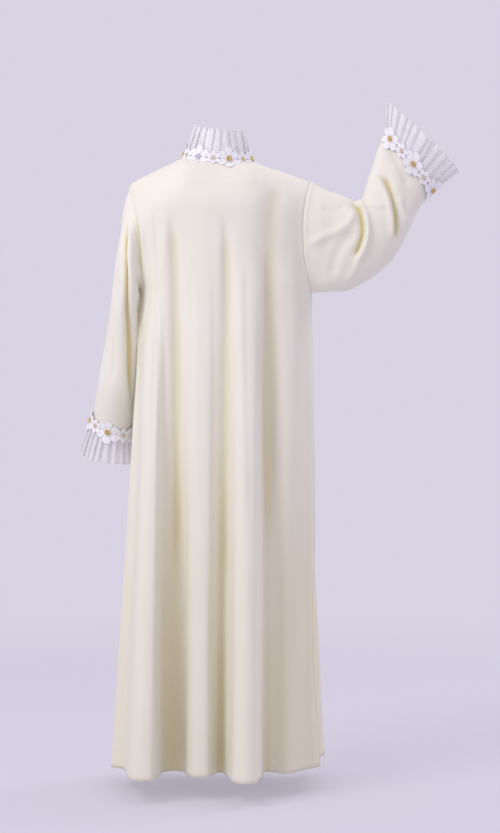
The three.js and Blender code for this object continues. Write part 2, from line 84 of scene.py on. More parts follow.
def gridLengths(points, axis=0):
    # the length along a line, or along a grid's lines, from the start to each point
    steps = np.linalg.norm(np.diff(points, axis=axis), axis=-1)
    zero = np.zeros_like(np.take(steps, [0], axis=axis))
    return np.concatenate([zero, np.cumsum(steps, axis=axis)], axis=axis)


def evenPlaces(curve, start, end, count, steps=1600):
    # places on a curve with equal lengths of it between them
    dense = np.linspace(start, end, steps)
    lengths = gridLengths(curve(dense))
    return np.interp(np.linspace(0, lengths[-1], count), lengths, dense)


def gridNormals(points, sign, roundU=False):
    if roundU:
        wrapped = np.concatenate([points[-1:], points, points[:1]])
        du = np.gradient(wrapped, axis=0)[1:-1]
    else:
        du = np.gradient(points, axis=0)
    dv = np.gradient(points, axis=1)
    return sign * unit(np.cross(du, dv))


def addObject(name, data):
    obj = bpy.data.objects.new(name, data)
    bpy.context.scene.collection.objects.link(obj)
    return obj


def newMesh(name, points, faces, edges=()):
    mesh = bpy.data.meshes.new(name)
    mesh.from_pydata((np.asarray(points, float).reshape(-1, 3) * mm).tolist(), list(edges), faces)
    mesh.update()
    return addObject(name, mesh)


def gridFaces(columns, rows, roundU):
    index = np.arange(columns * rows).reshape(columns, rows)
    after = np.roll(index, -1, axis=0)
    last = columns if roundU else columns - 1
    quads = np.stack([index[:last, :-1], after[:last, :-1], after[:last, 1:], index[:last, 1:]], axis=-1)
    return quads.reshape(-1, 4)


def thicken(obj, thick):
    shell = obj.modifiers.new("thickness", "SOLIDIFY")
    shell.thickness, shell.offset = thick * mm, -1


def clothPiece(name, points, sign, material, thick, roundU=False, paintedShade=None):
    # a sheet from a grid of points on its outer side, with a UV map in metres along it; the last
    #     argument is how much painted shade, the crepe's dark yellow, each point has
    columns, rows = points.shape[:2]
    quads = gridFaces(columns, rows, roundU)
    closed = np.concatenate([points, points[:1]]) if roundU else points
    u = gridLengths(closed[:, rows // 2]) * mm
    v = gridLengths(points[columns // 2]) * mm
    i, j = np.divmod(quads[:, :1], rows)
    uv = np.stack([u[i + (0, 1, 1, 0)], v[j + (0, 0, 1, 1)]], -1)
    if sign < 0:
        quads, uv = quads[:, ::-1], uv[:, ::-1]
    obj = newMesh(name, points, quads.tolist())
    layer = obj.data.uv_layers.new(name="cloth")
    layer.data.foreach_set("uv", uv.astype(np.float32).ravel())
    obj.data.shade_smooth()
    obj.data.materials.append(material)
    if paintedShade is not None:
        deep = obj.data.attributes.new("paintedShade", "FLOAT", "POINT")
        deep.data.foreach_set("value", paintedShade.astype(np.float32).ravel())
    thicken(obj, thick)
    return obj


def finishPiece(obj, slot, *nodes):
    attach(obj, "root")
    if nodes:
        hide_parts(*nodes)
    return obj


def nodeMaterial(name):
    material = bpy.data.materials.new(name)
    material.use_nodes = True
    tree = material.node_tree
    return material, tree, tree.nodes["Principled BSDF"]


def feed(tree, node, inputs):
    # links each input to its socket, or sets it to its value
    for key, value in dict(inputs).items():
        if isinstance(value, bpy.types.NodeSocket):
            tree.links.new(value, node.inputs[key])
        else:
            node.inputs[key].default_value = value


def addNode(tree, kind, inputs=(), **settings):
    node = tree.nodes.new(kind)
    for key, value in settings.items():
        setattr(node, key, value)
    feed(tree, node, inputs)
    return node


def objectPlace(tree):
    return addNode(tree, "ShaderNodeTexCoord").outputs["Object"]


def scaled(tree, coordinates, scale):
    return addNode(tree, "ShaderNodeMapping", {"Vector": coordinates, "Scale": scale}).outputs["Vector"]


def noise(tree, coordinates, scale, detail=2.0, roughness=0.5):
    return addNode(tree, "ShaderNodeTexNoise", {
        "Vector": coordinates, "Scale": scale, "Detail": detail, "Roughness": roughness,
    }).outputs["Fac"]


def waves(tree, uv, scale, wobble, detail, direction="X"):
    return addNode(tree, "ShaderNodeTexWave", {
        "Vector": uv, "Scale": scale, "Distortion": wobble, "Detail": detail, "Detail Scale": detail,
    }, bands_direction=direction).outputs["Fac"]


def combine(tree, operation, a, b):
    return addNode(tree, "ShaderNodeMath", {0: a, 1: b}, operation=operation).outputs[0]


def remap(tree, value, low, high, fromLow=0.3, fromHigh=0.7):
    return addNode(tree, "ShaderNodeMapRange", {
        "Value": value, "From Min": fromLow, "From Max": fromHigh, "To Min": low, "To Max": high,
    }).outputs["Result"]


def mixColours(tree, factor, a, b):
    node = addNode(tree, "ShaderNodeMix", {0: factor}, data_type="RGBA")
    colours = [value if isinstance(value, bpy.types.NodeSocket) else (*value, 1) for value in (a, b)]
    feed(tree, node, {6: colours[0], 7: colours[1]})
    return node.outputs[2]


def relief(tree, height, look):
    return addNode(tree, "ShaderNodeBump", {
        "Height": height, "Strength": look["bump"], "Distance": look["bumpHigh"],
    }).outputs["Normal"]


# Each look has the scales of its noises, and the shader's even inputs under "shader".
# The crepe's third colour, a dark yellow, is painted shade: it is mixed in where the cloth lies in creases,
# hollows and shade.
crepeLook = {
    "light": (0.875, 0.86, 0.765), "deep": (0.86, 0.835, 0.715), "paintedShade": (0.72, 0.625, 0.33),
    "patch": 9.0, "grain": 900.0, "speck": 0.35, "slub": 240.0, "slubTall": 0.35,
    "bump": 0.22, "bumpHigh": 0.0003, "rough": (0.58, 0.74),
    "shader": {
        "Sheen Weight": 0.22, "Sheen Roughness": 0.4, "Sheen Tint": (1, 0.97, 0.88, 1),
        "Specular IOR Level": 0.3,
    },
}


def makeCrepe():
    look = crepeLook
    material, tree, shader = nodeMaterial("butterCrepe")
    place = objectPlace(tree)
    patches = noise(tree, place, look["patch"], 3)
    grain = noise(tree, place, look["grain"], 3, 0.65)
    slub = noise(tree, scaled(tree, place, (1, 1, look["slubTall"])), look["slub"], 2)
    tone = mixColours(tree, remap(tree, patches, 0, 1), look["light"], look["deep"])
    tone = mixColours(tree, remap(tree, grain, 0, look["speck"]), tone, look["deep"])
    # each point's share of the painted shade, read from the cloth's own attribute
    paintedShade = addNode(tree, "ShaderNodeAttribute", attribute_name="paintedShade").outputs["Fac"]
    feed(tree, shader, {
        "Base Color": mixColours(tree, paintedShade, tone, look["paintedShade"]),
        "Roughness": remap(tree, slub, *look["rough"]),
        "Normal": relief(tree, combine(tree, "ADD", grain, slub), look),
        **look["shader"],
    })
    return material


organzaLook = {
    "light": (0.98, 0.96, 0.97), "shade": (0.94, 0.92, 0.94), "threads": 130.0, "wobble": 0.6,
    "cloud": 30.0, "streak": 260.0, "streakShort": 0.05, "alpha": (0.40, 0.58, 0.1, 0.6),
    "bump": 0.15, "bumpHigh": 0.0001,
    "shader": {"Roughness": 0.42, "Sheen Weight": 1.0, "Sheen Roughness": 0.5},
}


def makeOrganza():
    look = organzaLook
    material, tree, shader = nodeMaterial("whiteOrganza")
    uv = addNode(tree, "ShaderNodeUVMap", uv_map="cloth").outputs["UV"]
    warp, weft = [waves(tree, uv, look["threads"], look["wobble"], 1.0, way) for way in "XY"]
    weave = combine(tree, "MAXIMUM", warp, weft)
    cloud = noise(tree, objectPlace(tree), look["cloud"], 2)
    streak = noise(tree, scaled(tree, uv, (1, look["streakShort"], 1)), look["streak"], 2)
    feed(tree, shader, {
        "Base Color": mixColours(tree, cloud, look["shade"], look["light"]),
        "Alpha": remap(tree, combine(tree, "MULTIPLY", weave, streak), *look["alpha"]),
        "Normal": relief(tree, weave, look),
        **look["shader"],
    })
    return material


laceLook = {
    "light": (0.95, 0.945, 0.965), "shade": (0.80, 0.79, 0.86), "threads": 75.0, "wobble": 1.2,
    "fuzz": 1400.0, "lit": (0.3, 1), "rough": (0.5, 0.75), "bump": 0.5, "bumpHigh": 0.0003,
    "shader": {"Sheen Weight": 0.3},
}


def makeLace():
    look = laceLook
    material, tree, shader = nodeMaterial("daisyLace")
    uv = addNode(tree, "ShaderNodeUVMap", uv_map="petal").outputs["UV"]
    threads = waves(tree, uv, look["threads"], look["wobble"], 2.0)
    fuzz = noise(tree, objectPlace(tree), look["fuzz"], 2)
    tone = mixColours(tree, threads, look["shade"], look["light"])
    feed(tree, shader, {
        "Base Color": mixColours(tree, remap(tree, fuzz, *look["lit"]), tone, look["light"]),
        "Roughness": remap(tree, fuzz, *look["rough"]),
        "Normal": relief(tree, combine(tree, "ADD", threads, fuzz), look),
        **look["shader"],
    })
    return material


goldLook = {
    "tones": ((0.86, 0.71, 0.38), (0.68, 0.51, 0.22)), "spots": 500.0, "detail": 2, "sharp": True,
    "rough": (0.18, 0.34), "shader": {"Metallic": 1},
}
clearLook = {
    "tones": ((0.82, 0.84, 0.90), (0.6, 0.62, 0.7)), "spots": 700.0, "detail": 2, "sharp": False,
    "rough": (0.05, 0.16), "shader": {"Metallic": 0.55, "Coat Weight": 1},
}
threadLook = {
    "tones": ((0.80, 0.75, 0.58), (0.92, 0.89, 0.76)), "spots": 2200.0, "detail": 1, "sharp": False,
    "rough": (0.45, 0.65), "shader": {"Sheen Weight": 0.3},
}
whiteThreadLook = {**threadLook, "tones": ((0.90, 0.87, 0.88), (0.98, 0.96, 0.96))}


def makeSpotted(name, look):
    # two tones and two glosses that follow one noise
    material, tree, shader = nodeMaterial(name)
    spots = noise(tree, objectPlace(tree), look["spots"], look["detail"])
    share = remap(tree, spots, 0, 1) if look["sharp"] else spots
    feed(tree, shader, {
        "Base Color": mixColours(tree, share, *look["tones"]),
        "Roughness": remap(tree, spots, *look["rough"]),
        **look["shader"],
    })
    return material


crepe, organza, lace = makeCrepe(), makeOrganza(), makeLace()
goldBead, clearBead = makeSpotted("goldBead", goldLook), makeSpotted("clearBead", clearLook)
thread, whiteThread = makeSpotted("creamThread", threadLook), makeSpotted("whiteThread", whiteThreadLook)
print("materials made")


def newTree(name, inputs):
    tree = bpy.data.node_groups.new(name, "GeometryNodeTree")
    tree.interface.new_socket("Geometry", in_out="INPUT", socket_type="NodeSocketGeometry")
    for label, value in inputs.items():
        socket = tree.interface.new_socket(label, in_out="INPUT", socket_type="NodeSocketFloat")
        socket.default_value = value
    tree.interface.new_socket("Geometry", in_out="OUTPUT", socket_type="NodeSocketGeometry")
    return tree, tree.nodes.new("NodeGroupInput"), tree.nodes.new("NodeGroupOutput")


def endTree(tree, geometry, output, material):
    whole = addNode(tree, "GeometryNodeRealizeInstances", {"Geometry": geometry})
    smooth = addNode(tree, "GeometryNodeSetShadeSmooth", {"Geometry": whole.outputs[0]})
    painted = addNode(tree, "GeometryNodeSetMaterial", {"Geometry": smooth.outputs[0], "Material": material})
    tree.links.new(painted.outputs[0], output.inputs[0])
    return tree


def beadTree(name, material):
    tree, given, output = newTree(name, {"Bead radius": 0.001})
    ball = addNode(tree, "GeometryNodeMeshUVSphere", {
        "Segments": 10, "Rings": 6, "Radius": given.outputs["Bead radius"],
    })
    size = addNode(tree, "GeometryNodeInputNamedAttribute", {"Name": "size"}, data_type="FLOAT")
    placed = addNode(tree, "GeometryNodeInstanceOnPoints", {
        "Points": given.outputs["Geometry"], "Instance": ball.outputs["Mesh"],
        "Scale": size.outputs["Attribute"],
    })
    return endTree(tree, placed.outputs[0], output, material)


def stitchTree():
    tree, given, output = newTree("stitches", {"Pitch": 0.003, "Length": 0.0022, "Width": 0.0006})
    line = addNode(tree, "GeometryNodeMeshToCurve", {"Mesh": given.outputs["Geometry"]})
    spaced = addNode(tree, "GeometryNodeResampleCurve", {
        "Curve": line.outputs[0], "Length": given.outputs["Pitch"],
    }, mode="LENGTH")
    size = addNode(tree, "ShaderNodeCombineXYZ", {
        "X": given.outputs["Width"], "Y": given.outputs["Width"], "Z": given.outputs["Length"],
    })
    ball = addNode(tree, "GeometryNodeMeshUVSphere", {"Segments": 6, "Rings": 4, "Radius": 0.5})
    tangent = addNode(tree, "GeometryNodeInputTangent")
    turned = addNode(tree, "FunctionNodeAlignRotationToVector", {"Vector": tangent.outputs[0]}, axis="Z")
    placed = addNode(tree, "GeometryNodeInstanceOnPoints", {
        "Points": spaced.outputs[0], "Instance": ball.outputs["Mesh"],
        "Rotation": turned.outputs[0], "Scale": size.outputs[0],
    })
    return endTree(tree, placed.outputs[0], output, thread)


def rollTree(material):
    tree, given, output = newTree("rolledEdge", {"Radius": 0.0006})
    line = addNode(tree, "GeometryNodeMeshToCurve", {"Mesh": given.outputs["Geometry"]})
    ring = addNode(tree, "GeometryNodeCurvePrimitiveCircle", {
        "Resolution": 6, "Radius": given.outputs["Radius"],
    })
    tube = addNode(tree, "GeometryNodeCurveToMesh", {
        "Curve": line.outputs[0], "Profile Curve": ring.outputs["Curve"], "Fill Caps": True,
    })
    return endTree(tree, tube.outputs[0], output, material)


def growWith(obj, tree, **values):
    # runs a tree on an object and keeps the result as its plain mesh
    modifier = obj.modifiers.new(tree.name, "NODES")
    modifier.node_group = tree
    for item in tree.interface.items_tree:
        if item.name in values:
            modifier[item.identifier] = values[item.name]
    made = bpy.data.meshes.new_from_object(obj.evaluated_get(bpy.context.evaluated_depsgraph_get()))
    obj.modifiers.clear()
    obj.data = made
    return obj


def pathObject(name, *lines):
    # open or closed lines of points; a closed one repeats its first point at its end
    points, edges = [], []
    for line in lines:
        line = np.asarray(line, float)
        closed = np.linalg.norm(line[0] - line[-1]) < 1e-6
        kept = line[:-1] if closed else line
        start = len(points)
        points.extend(kept.tolist())
        edges.extend((start + k, start + k + 1) for k in range(len(kept) - 1))
        if closed:
            edges.append((start + len(kept) - 1, start))
    return newMesh(name, points, [], edges)


stitches, rolledEdge = stitchTree(), rollTree(whiteThread)
goldBeads, clearBeads = beadTree("goldBeads", goldBead), beadTree("clearBeads", clearBead)

# The garment's cut, in millimetres. The torso has the depth at the top and at underarm level and the
# ease over the shoulder, for the back (1) and the front (-1).
cut = {
    "hemZ": -1411, "foldTopZ": -130, "foldEase": 0.08, "edgeReach": 0.2,
    "armholeDeep": 52, "shoulderSeamY": -4, "shoulderTurn": math.radians(35), "turnFrom": 0.3,
    "neckFrom": 0.31,
    "left": {"tipX": 203, "tipZ": -54, "pitX": 170, "pitZ": -300, "inset": 7},
    "right": {"tipX": -215, "tipZ": -50, "pitX": -216, "pitZ": -307, "inset": 20},
    "neck": {
        "halfWide": 80, "y": -6, "back": 62, "front": 70,
        "backDrop": 12, "frontDrop": 68, "frontSwing": 2.2, "tilt": 0.07,
    },
    "torso": {1: (112, 108, 115), -1: (112, 136, 165)},
    "hemTurns": [  # place round the hem, x, y
        (0.00, 247, 10), (0.05, 216, 44), (0.12, 192, 176), (0.185, 146, 194), (0.215, 136, 150),
        (0.24, 127, 88), (0.285, 103, 64), (0.325, 77, 80), (0.35, 66, 126), (0.375, 52, 146),
        (0.43, 20, 148), (0.455, 10, 112), (0.49, -8, 84), (0.52, -24, 132), (0.55, -40, 212),
        (0.605, -84, 224), (0.64, -97, 160), (0.66, -103, 100), (0.685, -116, 76), (0.77, -160, 98),
        (0.86, -200, 50), (1.00, -238, 0), (1.11, -234, -92), (1.18, -256, -176), (1.235, -232, -210),
        (1.30, -170, -150), (1.365, -128, -224), (1.41, -92, -222), (1.455, -58, -178), (1.50, -12, -198),
        (1.545, 32, -194), (1.59, 64, -170), (1.64, 98, -220), (1.69, 136, -216), (1.75, 172, -142),
        (1.81, 206, -188), (1.865, 238, -164), (1.93, 238, -72),
    ],
}
hemRows = [(at + shift, x, y) for shift in (-2, 0, 2) for at, x, y in cut["hemTurns"]]


def neckline(angle):
    shape = cut["neck"]
    s = np.sin(angle)
    x = shape["halfWide"] * np.cos(angle)
    y = shape["y"] + np.where(s > 0, shape["back"], shape["front"]) * s
    drop = np.where(s > 0, shape["backDrop"] * s, shape["frontDrop"] * np.abs(s) ** shape["frontSwing"])
    return stack(x, y, shape["tilt"] * x - drop)


def armholeEdge(side, fall):
    shape = cut[side]
    share = (1 - np.cos(np.pi * fall)) / 2
    inward = -shape["inset"] if side == "left" else shape["inset"]
    bows = (np.sin(np.pi * fall), 27 / 4 * share * (1 - share) ** 2)  # the most of each is 1
    straight = mix(shape["tipX"], shape["pitX"], share)
    return [(straight + inward * bow, cut["armholeDeep"] * bow) for bow in bows]


def topEdge(face, across):
    neckFrom = cut["neckFrom"]
    onNeck = np.clip((across - neckFrom) / (1 - 2 * neckFrom), 0, 1)
    curve = neckline(face * np.arccos(1 - 2 * onNeck))
    isLeft = (across < 0.5)[..., None]
    share = np.clip(np.minimum(across, 1 - across) / neckFrom, 0, 1)[..., None]
    left, right = [
        np.array([cut[side]["tipX"], cut["shoulderSeamY"], cut[side]["tipZ"]]) for side in ("left", "right")
    ]
    tip, neckEnd = np.where(isLeft, left, right), np.where(isLeft, neckline(0.0), neckline(np.pi))
    shoulder = mix(tip, neckEnd, share)
    inNeck = (across > neckFrom) & (across < 1 - neckFrom)
    return np.where(inNeck[..., None], curve, shoulder)


def bodyPoint(face, across, fall):
    # face is 1 at the back and -1 in front; across runs left to right, fall from the top edge
    # (0) by underarm level (1) to the hem (2)
    across, fall = np.broadcast_arrays(np.asarray(across, float), np.asarray(fall, float))
    deepTop, deepPit, easeOver = cut["torso"][face]
    upper = np.minimum(fall, 1)
    share = (1 - np.cos(np.pi * upper)) / 2
    left, right = np.array(armholeEdge("left", upper)), np.array(armholeEdge("right", upper))
    (leftX, leftY), (rightX, rightY) = left[1], right[1]
    pull = 0
    for (edge, soft), away in ((left, across), (right, 1 - across)):
        pull = pull + np.maximum(1 - away / cut["edgeReach"], 0) ** 2 * (edge - soft)
    top = topEdge(face, across)
    turn = cut["shoulderTurn"] * fade(share, cut["turnFrom"], 1)
    angle = mix(turn, np.pi - turn, across)
    edgeY = mix(leftY, rightY, across)
    bow = (np.sin(angle) - np.sin(turn)) / (1 - np.sin(turn))
    deep = mix(deepTop, deepPit, smoothstep(share, 0, 1))
    sectionX = (leftX + rightX) / 2 + (leftX - rightX) / 2 * np.cos(angle) / np.cos(turn) + pull[0]
    sectionY = face * (edgeY + (deep - edgeY) * bow + pull[1])
    pitZ = mix(cut["left"]["pitZ"], cut["right"]["pitZ"], across)
    upperZ = mix(top[..., 2], pitZ, share)
    z = np.where(fall < 1, upperZ, mix(pitZ, cut["hemZ"], fall - 1))
    t = np.clip((top[..., 2] - upperZ) / easeOver, 0, 1)
    neckShare = smoothstep(0.5 - np.abs(across - 0.5), cut["neckFrom"], 0.5)
    ease = mix(np.sqrt(1 - (1 - t) ** 2), np.sin(np.pi * t / 2), neckShare)
    at = across if face > 0 else 2 - across
    down = np.maximum((z - cut["foldTopZ"]) / (cut["hemZ"] - cut["foldTopZ"]), 0)
    full = down * down * (1 + cut["foldEase"]) / (down + cut["foldEase"])
    return stack(
        mix(mix(top[..., 0], sectionX, ease), fromTable(hemRows, 1, at), full),
        mix(mix(top[..., 1], sectionY, ease), fromTable(hemRows, 2, at), full),
        z,
    )


def smoothPath(path, count=40):
    rows = [(k, x, z) for k, (x, z) in enumerate(path)]
    at = np.linspace(0, len(path) - 1, count)
    return np.stack([fromTable(rows, 1, at), fromTable(rows, 2, at)], 1)


creaseShape = {"lipSide": 0.5, "farSide": 1.1, "lipAt": 1.25, "lipWide": 0.8, "taper": 0.2}
unevenShape = {"waves": 7, "stretch": (1, 1, 0.3)}


def creaseHeights(points, creases):
    # each crease: its depth (a ridge where negative), its width, how far its lip stands up beside
    # it (where positive, on the +X side of a path that goes down), and its path in x and z
    flat = points[..., [0, 2]]
    heights = np.zeros(points.shape[:2])
    for depth, width, lip, path in creases:
        line = smoothPath(path)
        nearest = np.full(heights.shape, far)
        signed, progress = np.zeros_like(heights), np.zeros_like(heights)
        for k in range(len(line) - 1):
            start, step = line[k], line[k + 1] - line[k]
            off = flat - start
            t = np.clip((off @ step) / (step @ step), 0, 1)
            distance = np.linalg.norm(off - t[..., None] * step, axis=-1)
            closer = distance < nearest
            side = np.sign(step[0] * off[..., 1] - step[1] * off[..., 0])
            nearest = np.where(closer, distance, nearest)
            signed = np.where(closer, side * distance, signed)
            progress = np.where(closer, (k + t) / (len(line) - 1), progress)
        end = creaseShape["taper"]
        taper = smoothstep(progress, 0, end) * smoothstep(1 - progress, 0, end)
        toLip = signed * np.sign(lip)
        wide = width * np.where(toLip > 0, creaseShape["lipSide"], creaseShape["farSide"]) if lip else width
        stand = bump(toLip, creaseShape["lipAt"] * width, 1, creaseShape["lipWide"] * width)
        heights += depth * taper * (abs(lip) * stand - bump(signed, 0, 1, wide))
    return heights


def unevenness(points, seed, size, height):
    # a slow, seeded unevenness over a cloth, longer down than across
    random = np.random.default_rng(seed)
    total = np.zeros(points.shape[:2])
    for _ in range(unevenShape["waves"]):
        direction = random.normal(size=3) * np.array(unevenShape["stretch"]) / size
        total += np.sin(points @ direction * 2 * np.pi + random.uniform(0, 2 * np.pi))
    return total * height / unevenShape["waves"] ** 0.5


def bodyOut(face, across, fall):
    # the direction out of the cloth at places of the body
    before, after = np.maximum(across - smallStep, 0), np.minimum(across + smallStep, 1)
    above, below = np.maximum(fall - smallStep, 0), np.minimum(fall + smallStep, 2)
    du = bodyPoint(face, after, fall) - bodyPoint(face, before, fall)
    dv = bodyPoint(face, across, below) - bodyPoint(face, across, above)
    return -face * unit(np.cross(du, dv))


def relaxed(points, weight, rounds):
    # evens the rows of a grid out where the weight says so, with its borders left alone
    points = points.copy()
    for _ in range(rounds):
        even = (points[1:-1, :-2] + points[1:-1, 2:] + points[:-2, 1:-1] + points[2:, 1:-1]) / 4
        points[1:-1, 1:-1] = mix(points[1:-1, 1:-1], even, weight[1:-1, 1:-1, None])
    return points


# In the looks below, three numbers given to a bump are where it lies, how high it is and how wide,
# and two given to a fade or a smoothstep are where it starts and ends.
panelLook = {
    "columns": 220, "upperRows": 72, "lowerRows": 110, "thick": 0.9, "measuredAt": 1.7,
    "hem": {
        "rise": 0.7, "end": (11.5, 13.5), "sewn": (11, -0.5, 0.9), "threadOut": 0.25,
        "stitch": {"Pitch": 0.0032, "Length": 0.0026, "Width": 0.0006},
    },
    "seamFlat": 10, "seam": (6, 1.6, 3.4),
    # painted shade in the creases: the crease depths over which it comes in, its share, and the most painted
    # shade any point gets
    "foldDeep": (2, 9), "creaseShade": 0.5, "shadeMost": 0.9,
    "relax": {"tall": 0.1, "from": 0.02, "to": (0.28, 0.44), "rounds": 60},
    "uneven": {"seeds": {1: 11, -1: 12}, "size": 190, "high": 0.9, "from": 0.4},
    "facing": {"to": 0.28, "high": 1.3, "soft": 0.012, "ends": 0.27},
    # the side bulge under the left arm, and the painted shade laid over it
    "pit": {"z": -350, "tall": 75, "out": 12, "reach": 0.06, "tint": 0.8},
    "sideTuck": {"z": -1120, "tall": 200, "in": 14, "reach": 0.09},
    # painted shade where the cloth lies behind the cloth to either side of it
    "recess": {"reach": 18, "deep": (4, 42), "tint": 0.75, "sideFlat": 40},
    "lowShade": {  # the painted shade of the lower half, by face and side
        "deep": (500, 1100), "back": 0.1, "backLeft": 0.1, "leftTo": 0.12,
        "backRight": 0.28, "backAt": (0.68, 0.76), "frontRight": 0.5, "frontAt": (0.8, 0.9),
    },
    "lap": 0.025, "lapFrom": 0.38, "lapTo": 0.46, "lapLift": 2.3,
    "flat": {  # each panel's cut: width at the hem, length, area
        "backPanel": (1.14, 1.48, 1.04), "leftFront": (0.60, 1.47, 0.55),
        "rightFront": (0.58, 1.47, 0.54),
    },
    "backCreases": [
        (9, 15, 0.25, [(106, -110), (104, -220), (100, -360), (98, -560), (98, -800), (100, -1060)]),
        (6.5, 14, 0.25, [(-18, -120), (-18, -240), (-19, -400), (-17, -620), (-13, -860), (-10, -1080)]),
        (6.5, 26, 0, [
            (-166, -62), (-140, -80), (-126, -112), (-121, -180), (-122, -320), (-122, -520),
            (-118, -760), (-116, -1010),
        ]),
        (4, 12, 0.2, [(-116, -190), (-117, -320), (-119, -520), (-117, -760), (-114, -1010)]),
        (2.2, 11, 0.3, [(150, -90), (142, -160), (138, -280), (142, -460), (150, -700)]),
        (1.8, 10, -0.3, [(60, -250), (57, -420), (58, -660), (62, -900)]),
        (2.0, 11, 0.3, [(-66, -220), (-66, -400), (-70, -640), (-76, -900)]),
        (-3.0, 13, 0, [(-172, -180), (-178, -300), (-182, -480), (-186, -720)]),
        (2.4, 8, 0.5, [(170, -150), (163, -210), (160, -290), (166, -420)]),
        (1.4, 16, 0, [(190, -70), (140, -58), (96, -40)]),
        (1.4, 14, 0, [(-196, -66), (-150, -60), (-104, -44)]),
    ],
    "frontCreases": [
        (2.0, 14, 0.5, [(110, -150), (106, -260), (104, -420), (104, -680)]),
        (2.0, 14, -0.5, [(-112, -150), (-110, -280), (-108, -460), (-108, -720)]),
        (1.5, 12, 0.4, [(58, -240), (54, -400), (52, -640)]),
        (1.5, 12, -0.4, [(-60, -220), (-58, -380), (-58, -620)]),
        (2.4, 9, 0.6, [(-192, -120), (-170, -190), (-166, -280), (-176, -400)]),
        (1.8, 9, -0.6, [(172, -130), (154, -200), (150, -300), (156, -420)]),
        (1.4, 15, 0.0, [(-180, -70), (-130, -88), (-92, -120)]),
        (1.4, 15, 0.0, [(176, -76), (128, -90), (92, -122)]),
    ],
}


def lengthsToEnd(points):
    return gridLengths(points[:, ::-1], 1)[:, ::-1]


def recess(points, normals, reach):
    # how far each place lies behind the cloth's mean over some columns to either side
    sums = np.cumsum(np.pad(points, ((reach, reach), (0, 0), (0, 0)), mode="edge"), axis=0)
    mean = (sums[2 * reach:] - sums[:-2 * reach]) / (2 * reach)
    return ((mean - points) * normals).sum(-1)


def panelGrid(face, columns, lifted=False):
    look = panelLook
    falls = np.concatenate([
        np.linspace(0, 1, look["upperRows"], endpoint=False), np.linspace(1, 2, look["lowerRows"]),
    ])
    across, fall = np.meshgrid(columns, falls, indexing="ij")
    base = bodyPoint(face, across, fall)
    toEdge = np.minimum(across, 1 - across)
    relax = look["relax"]
    nearPit = bump(fall, 1, 1, relax["tall"]) * smoothstep(toEdge, 0, relax["from"])
    base = relaxed(base, nearPit * fade(toEdge, *relax["to"]), relax["rounds"])
    z, pit, tuck = base[..., 2], look["pit"], look["sideTuck"]
    base[..., 0] += bump(z, pit["z"], pit["out"], pit["tall"]) * fade(across, 0, pit["reach"])
    base[..., 0] += bump(z, tuck["z"], tuck["in"], tuck["tall"]) * smoothstep(across, 1 - tuck["reach"], 1)
    normals = gridNormals(base, -face)
    rise = creaseHeights(base, look["backCreases" if face > 0 else "frontCreases"])
    uneven = look["uneven"]
    slow = unevenness(base, uneven["seeds"][face], uneven["size"], uneven["high"])
    rise += slow * smoothstep(fall, 0, uneven["from"])
    fromHem, fromTop, width = lengthsToEnd(base), gridLengths(base, 1), gridLengths(base)
    toLeft = width if columns[0] < 1e-6 else np.full_like(width, far)
    toRight = width[-1] - width if columns[-1] > 1 - 1e-6 else np.full_like(width, far)
    toSides = np.minimum(toLeft, toRight)
    hollow, low = look["recess"], look["lowShade"]
    deep = recess(base, normals, hollow["reach"]) * smoothstep(toSides, 0, hollow["sideFlat"])
    # painted shade: each point's share of dark yellow, in creases, hollows, the armpit, the right side and
    # the lower half
    paintedShade = smoothstep(-rise, *look["foldDeep"]) * look["creaseShade"]
    paintedShade += smoothstep(deep, *hollow["deep"]) * hollow["tint"]
    paintedShade += pit["tint"] * bump(z, pit["z"], 1, pit["tall"]) * fade(across, 0, pit["reach"])
    if face < 0:
        tint = low["frontRight"] * smoothstep(across, *low["frontAt"])
    else:
        tint = low["back"] + low["backRight"] * smoothstep(across, *low["backAt"])
        tint += low["backLeft"] * fade(across, 0, low["leftTo"])
    paintedShade = np.minimum(paintedShade + tint * smoothstep(-z, *low["deep"]), look["shadeMost"])
    for away in (toSides, fromTop):
        rise *= smoothstep(away, 0, look["seamFlat"])
        rise += bump(away, *look["seam"])
    hem, facing = look["hem"], look["facing"]
    rise += hem["rise"] * fade(fromHem, *hem["end"])
    rise += bump(fromHem, *hem["sewn"])
    if face > 0:
        over = facing["high"] * fade(fall, facing["to"], facing["to"] + facing["soft"])
        rise += over * smoothstep(toEdge, facing["ends"] - facing["soft"], facing["ends"])
    if lifted:
        rise += look["lapLift"] * smoothstep(across, look["lapFrom"], look["lapTo"])
    return base + normals * rise[..., None], normals, paintedShade


def rowNear(points, distance):
    # the line across a panel that lies a distance above its hem
    row = np.argmin(np.abs(lengthsToEnd(points).mean(0) - distance))
    return points[:, row], row


def panelColumns(face):
    at = panelLook["measuredAt"]
    return evenPlaces(lambda across: bodyPoint(face, across, at), 0, 1, panelLook["columns"])


allColumns = {face: panelColumns(face) for face in (1, -1)}
fronts = allColumns[-1]
panels = {
    "backPanel": (1, allColumns[1], False, "back"),
    "leftFront": (-1, fronts[fronts < 0.5 + panelLook["lap"]], True, "front_left"),
    "rightFront": (-1, fronts[fronts > 0.5 - panelLook["lap"]], False, "front_right"),
}
hemLines = {}
for name, (face, columns, lifted, node) in panels.items():
    points, normals, paintedShade = panelGrid(face, columns, lifted)
    piece = clothPiece(name, points, -face, crepe, panelLook["thick"], paintedShade=paintedShade)
    finishPiece(piece, "crepe", node)
    line, row = rowNear(points, panelLook["hem"]["sewn"][0])
    hemLines[name] = line + normals[:, row] * panelLook["hem"]["threadOut"]
    if name == "backPanel":
        backPoints, backNormals = points, normals
print("body panels made")

